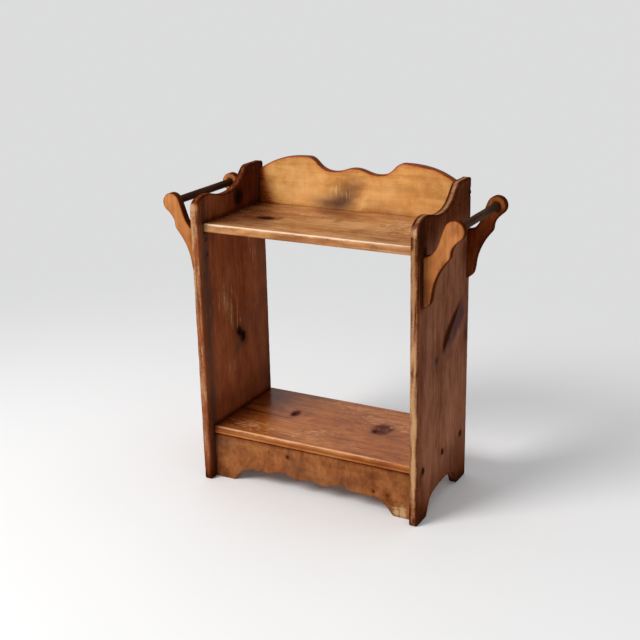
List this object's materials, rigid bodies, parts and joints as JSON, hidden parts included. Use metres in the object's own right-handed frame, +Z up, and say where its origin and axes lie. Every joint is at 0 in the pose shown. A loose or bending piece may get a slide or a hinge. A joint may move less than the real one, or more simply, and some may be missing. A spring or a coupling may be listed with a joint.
{
  "type": "washstand",
  "caption": "Free-standing pine washstand with scroll-sawn sides, an upper basin shelf, a lower shelf, a scrolled backsplash, a scalloped apron and a towel rod at each side.",
  "frame": {"origin": "on the floor, under the middle of the stand's width and depth", "axes": "+Z up, -Y towards the front, +X towards the right side seen from the front"},
  "size_m": [0.7146, 0.286, 0.7295],
  "materials": {
    "dark_pine": "aged stained pine, satin varnish",
    "gold_pine": "aged honey pine, satin varnish",
    "shelf_pine": "aged stained pine, worn satin varnish",
    "apron_pine": "aged stained pine, satin varnish",
    "bracket_pine": "aged stained pine, satin varnish",
    "bare_pine": "unfinished pine",
    "rod_stain": "dark stained dowel, satin",
    "plug_stain": "dark stained plug, dull",
    "screw_steel": "browned steel"
  },
  "bodies": {
    "stand": {"left_side_board": "dark_pine", "right_side_board": "dark_pine", "upper_shelf": "shelf_pine", "lower_shelf": "shelf_pine", "backsplash": "gold_pine", "apron": "apron_pine", "apron_block_left": "bare_pine", "apron_block_middle": "bare_pine", "apron_block_right": "bare_pine", "left_front_bracket": "bracket_pine", "left_rear_bracket": "bracket_pine", "right_front_bracket": "bracket_pine", "right_rear_bracket": "bracket_pine", "upper_shelf_screw_left_front": "screw_steel", "upper_shelf_plug_left_front": "plug_stain", "upper_shelf_screw_left_middle": "screw_steel", "upper_shelf_plug_left_middle": "plug_stain", "upper_shelf_screw_left_rear": "screw_steel", "upper_shelf_plug_left_rear": "plug_stain", "lower_shelf_screw_left_front": "screw_steel", "lower_shelf_plug_left_front": "plug_stain", "lower_shelf_screw_left_middle": "screw_steel", "lower_shelf_plug_left_middle": "plug_stain", "lower_shelf_screw_left_rear": "screw_steel", "lower_shelf_plug_left_rear": "plug_stain", "backsplash_screw_left": "screw_steel", "backsplash_plug_left": "plug_stain", "left_front_bracket_screw_lower": "screw_steel", "left_front_bracket_screw_upper": "screw_steel", "left_rear_bracket_screw_lower": "screw_steel", "left_rear_bracket_screw_upper": "screw_steel", "upper_shelf_screw_right_front": "screw_steel", "upper_shelf_plug_right_front": "plug_stain", "upper_shelf_screw_right_middle": "screw_steel", "upper_shelf_plug_right_middle": "plug_stain", "upper_shelf_screw_right_rear": "screw_steel", "upper_shelf_plug_right_rear": "plug_stain", "lower_shelf_screw_right_front": "screw_steel", "lower_shelf_plug_right_front": "plug_stain", "lower_shelf_screw_right_middle": "screw_steel", "lower_shelf_plug_right_middle": "plug_stain", "lower_shelf_screw_right_rear": "screw_steel", "lower_shelf_plug_right_rear": "plug_stain", "backsplash_screw_right": "screw_steel", "backsplash_plug_right": "plug_stain", "right_front_bracket_screw_lower": "screw_steel", "right_front_bracket_screw_upper": "screw_steel", "right_rear_bracket_screw_lower": "screw_steel", "right_rear_bracket_screw_upper": "screw_steel", "backsplash_foot_screw_left": "screw_steel", "backsplash_foot_screw_middle": "screw_steel", "backsplash_foot_screw_right": "screw_steel"},
    "left_rod": {"left_towel_rod": "rod_stain"},
    "right_rod": {"right_towel_rod": "rod_stain"}
  },
  "joints": [
    {"name": "left_rod_spin", "type": "hinge", "parent": "stand", "child": "left_rod", "pos_m": [-0.3358, 0.011, 0.6535], "axis": [0, 1, 0], "continuous": true},
    {"name": "right_rod_spin", "type": "hinge", "parent": "stand", "child": "right_rod", "pos_m": [0.3358, 0.011, 0.6535], "axis": [0, 1, 0], "continuous": true}
  ]
}
